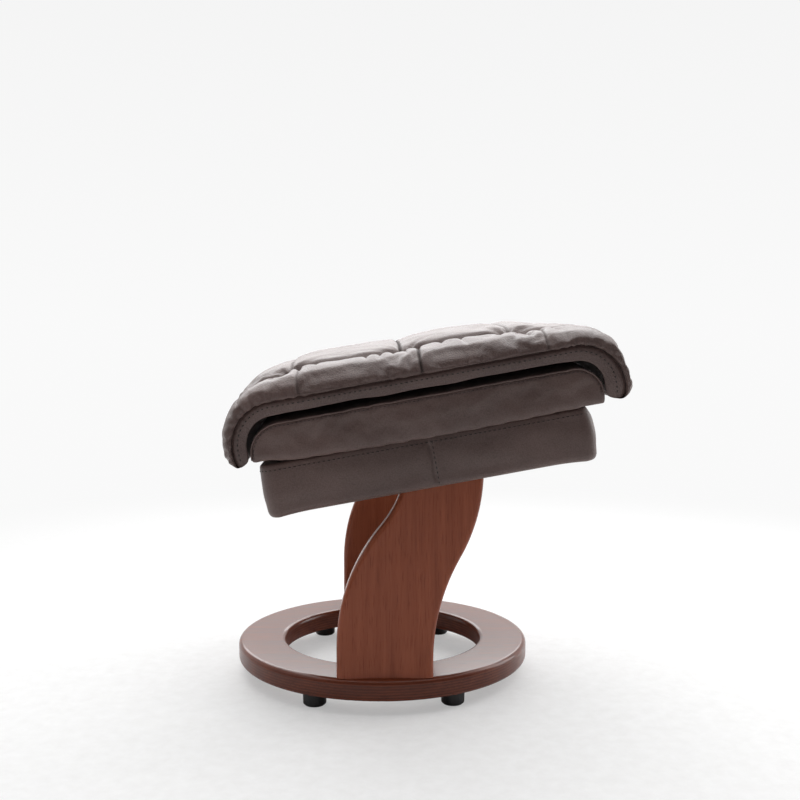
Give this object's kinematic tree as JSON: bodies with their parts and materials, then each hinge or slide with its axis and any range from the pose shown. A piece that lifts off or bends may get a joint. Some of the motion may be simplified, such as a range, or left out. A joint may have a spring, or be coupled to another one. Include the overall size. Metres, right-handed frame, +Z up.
{
  "type": "storage ottoman",
  "caption": "Leather storage ottoman with a tufted hinged lid, tilted on two S-shaped wooden legs and a round ring base.",
  "frame": {"origin": "on the floor, under the middle of the object's box", "axes": "+Z up; +X towards the high end of the lid, away from its hinges; +Y along the hinge axis"},
  "size_m": [0.4607, 0.4318, 0.4398],
  "materials": {
    "leather": "soft grained taupe brown leather, satin",
    "stained_wood": "red-brown stain under gloss lacquer",
    "frame_wood": "raw plywood and beech",
    "black_plastic": "moulded, matte",
    "steel": "zinc plated",
    "lining_cloth": "plain woven lining",
    "dust_cloth": "black non-woven cloth",
    "foam": "upholstery foam",
    "rubber": "matte"
  },
  "bodies": {
    "base": {"base_ring": "stained_wood", "floor_glides": "black_plastic", "glide_screws": "steel", "right_leg": "stained_wood", "left_leg": "stained_wood", "leg_ring_screws": "steel", "leg_box_screws": "steel", "box_bottom_panel": "frame_wood", "box_rear_board": "frame_wood", "box_front_board": "frame_wood", "box_left_board": "frame_wood", "box_right_board": "frame_wood", "box_dowels": "frame_wood", "box_cover": "leather", "box_welt": "leather", "box_lining": "lining_cloth", "box_dust_cover": "dust_cloth", "hinge_lower_leaves": "steel", "hinge_pins": "steel", "hinge_lower_screws": "steel", "lid_bumpers": "rubber"},
    "lid": {"lid_board": "frame_wood", "lid_lining": "lining_cloth", "pad_foam": "foam", "pad_cover": "leather", "pad_welts": "leather", "topper_cushion": "leather", "hinge_upper_leaves": "steel", "hinge_upper_screws": "steel"}
  },
  "joints": [
    {"name": "lid_hinge", "type": "hinge", "parent": "base", "child": "lid", "pos_m": [-0.1858, 0, 0.2894], "axis": [0, -1, 0], "range_deg": [0, 83]}
  ]
}
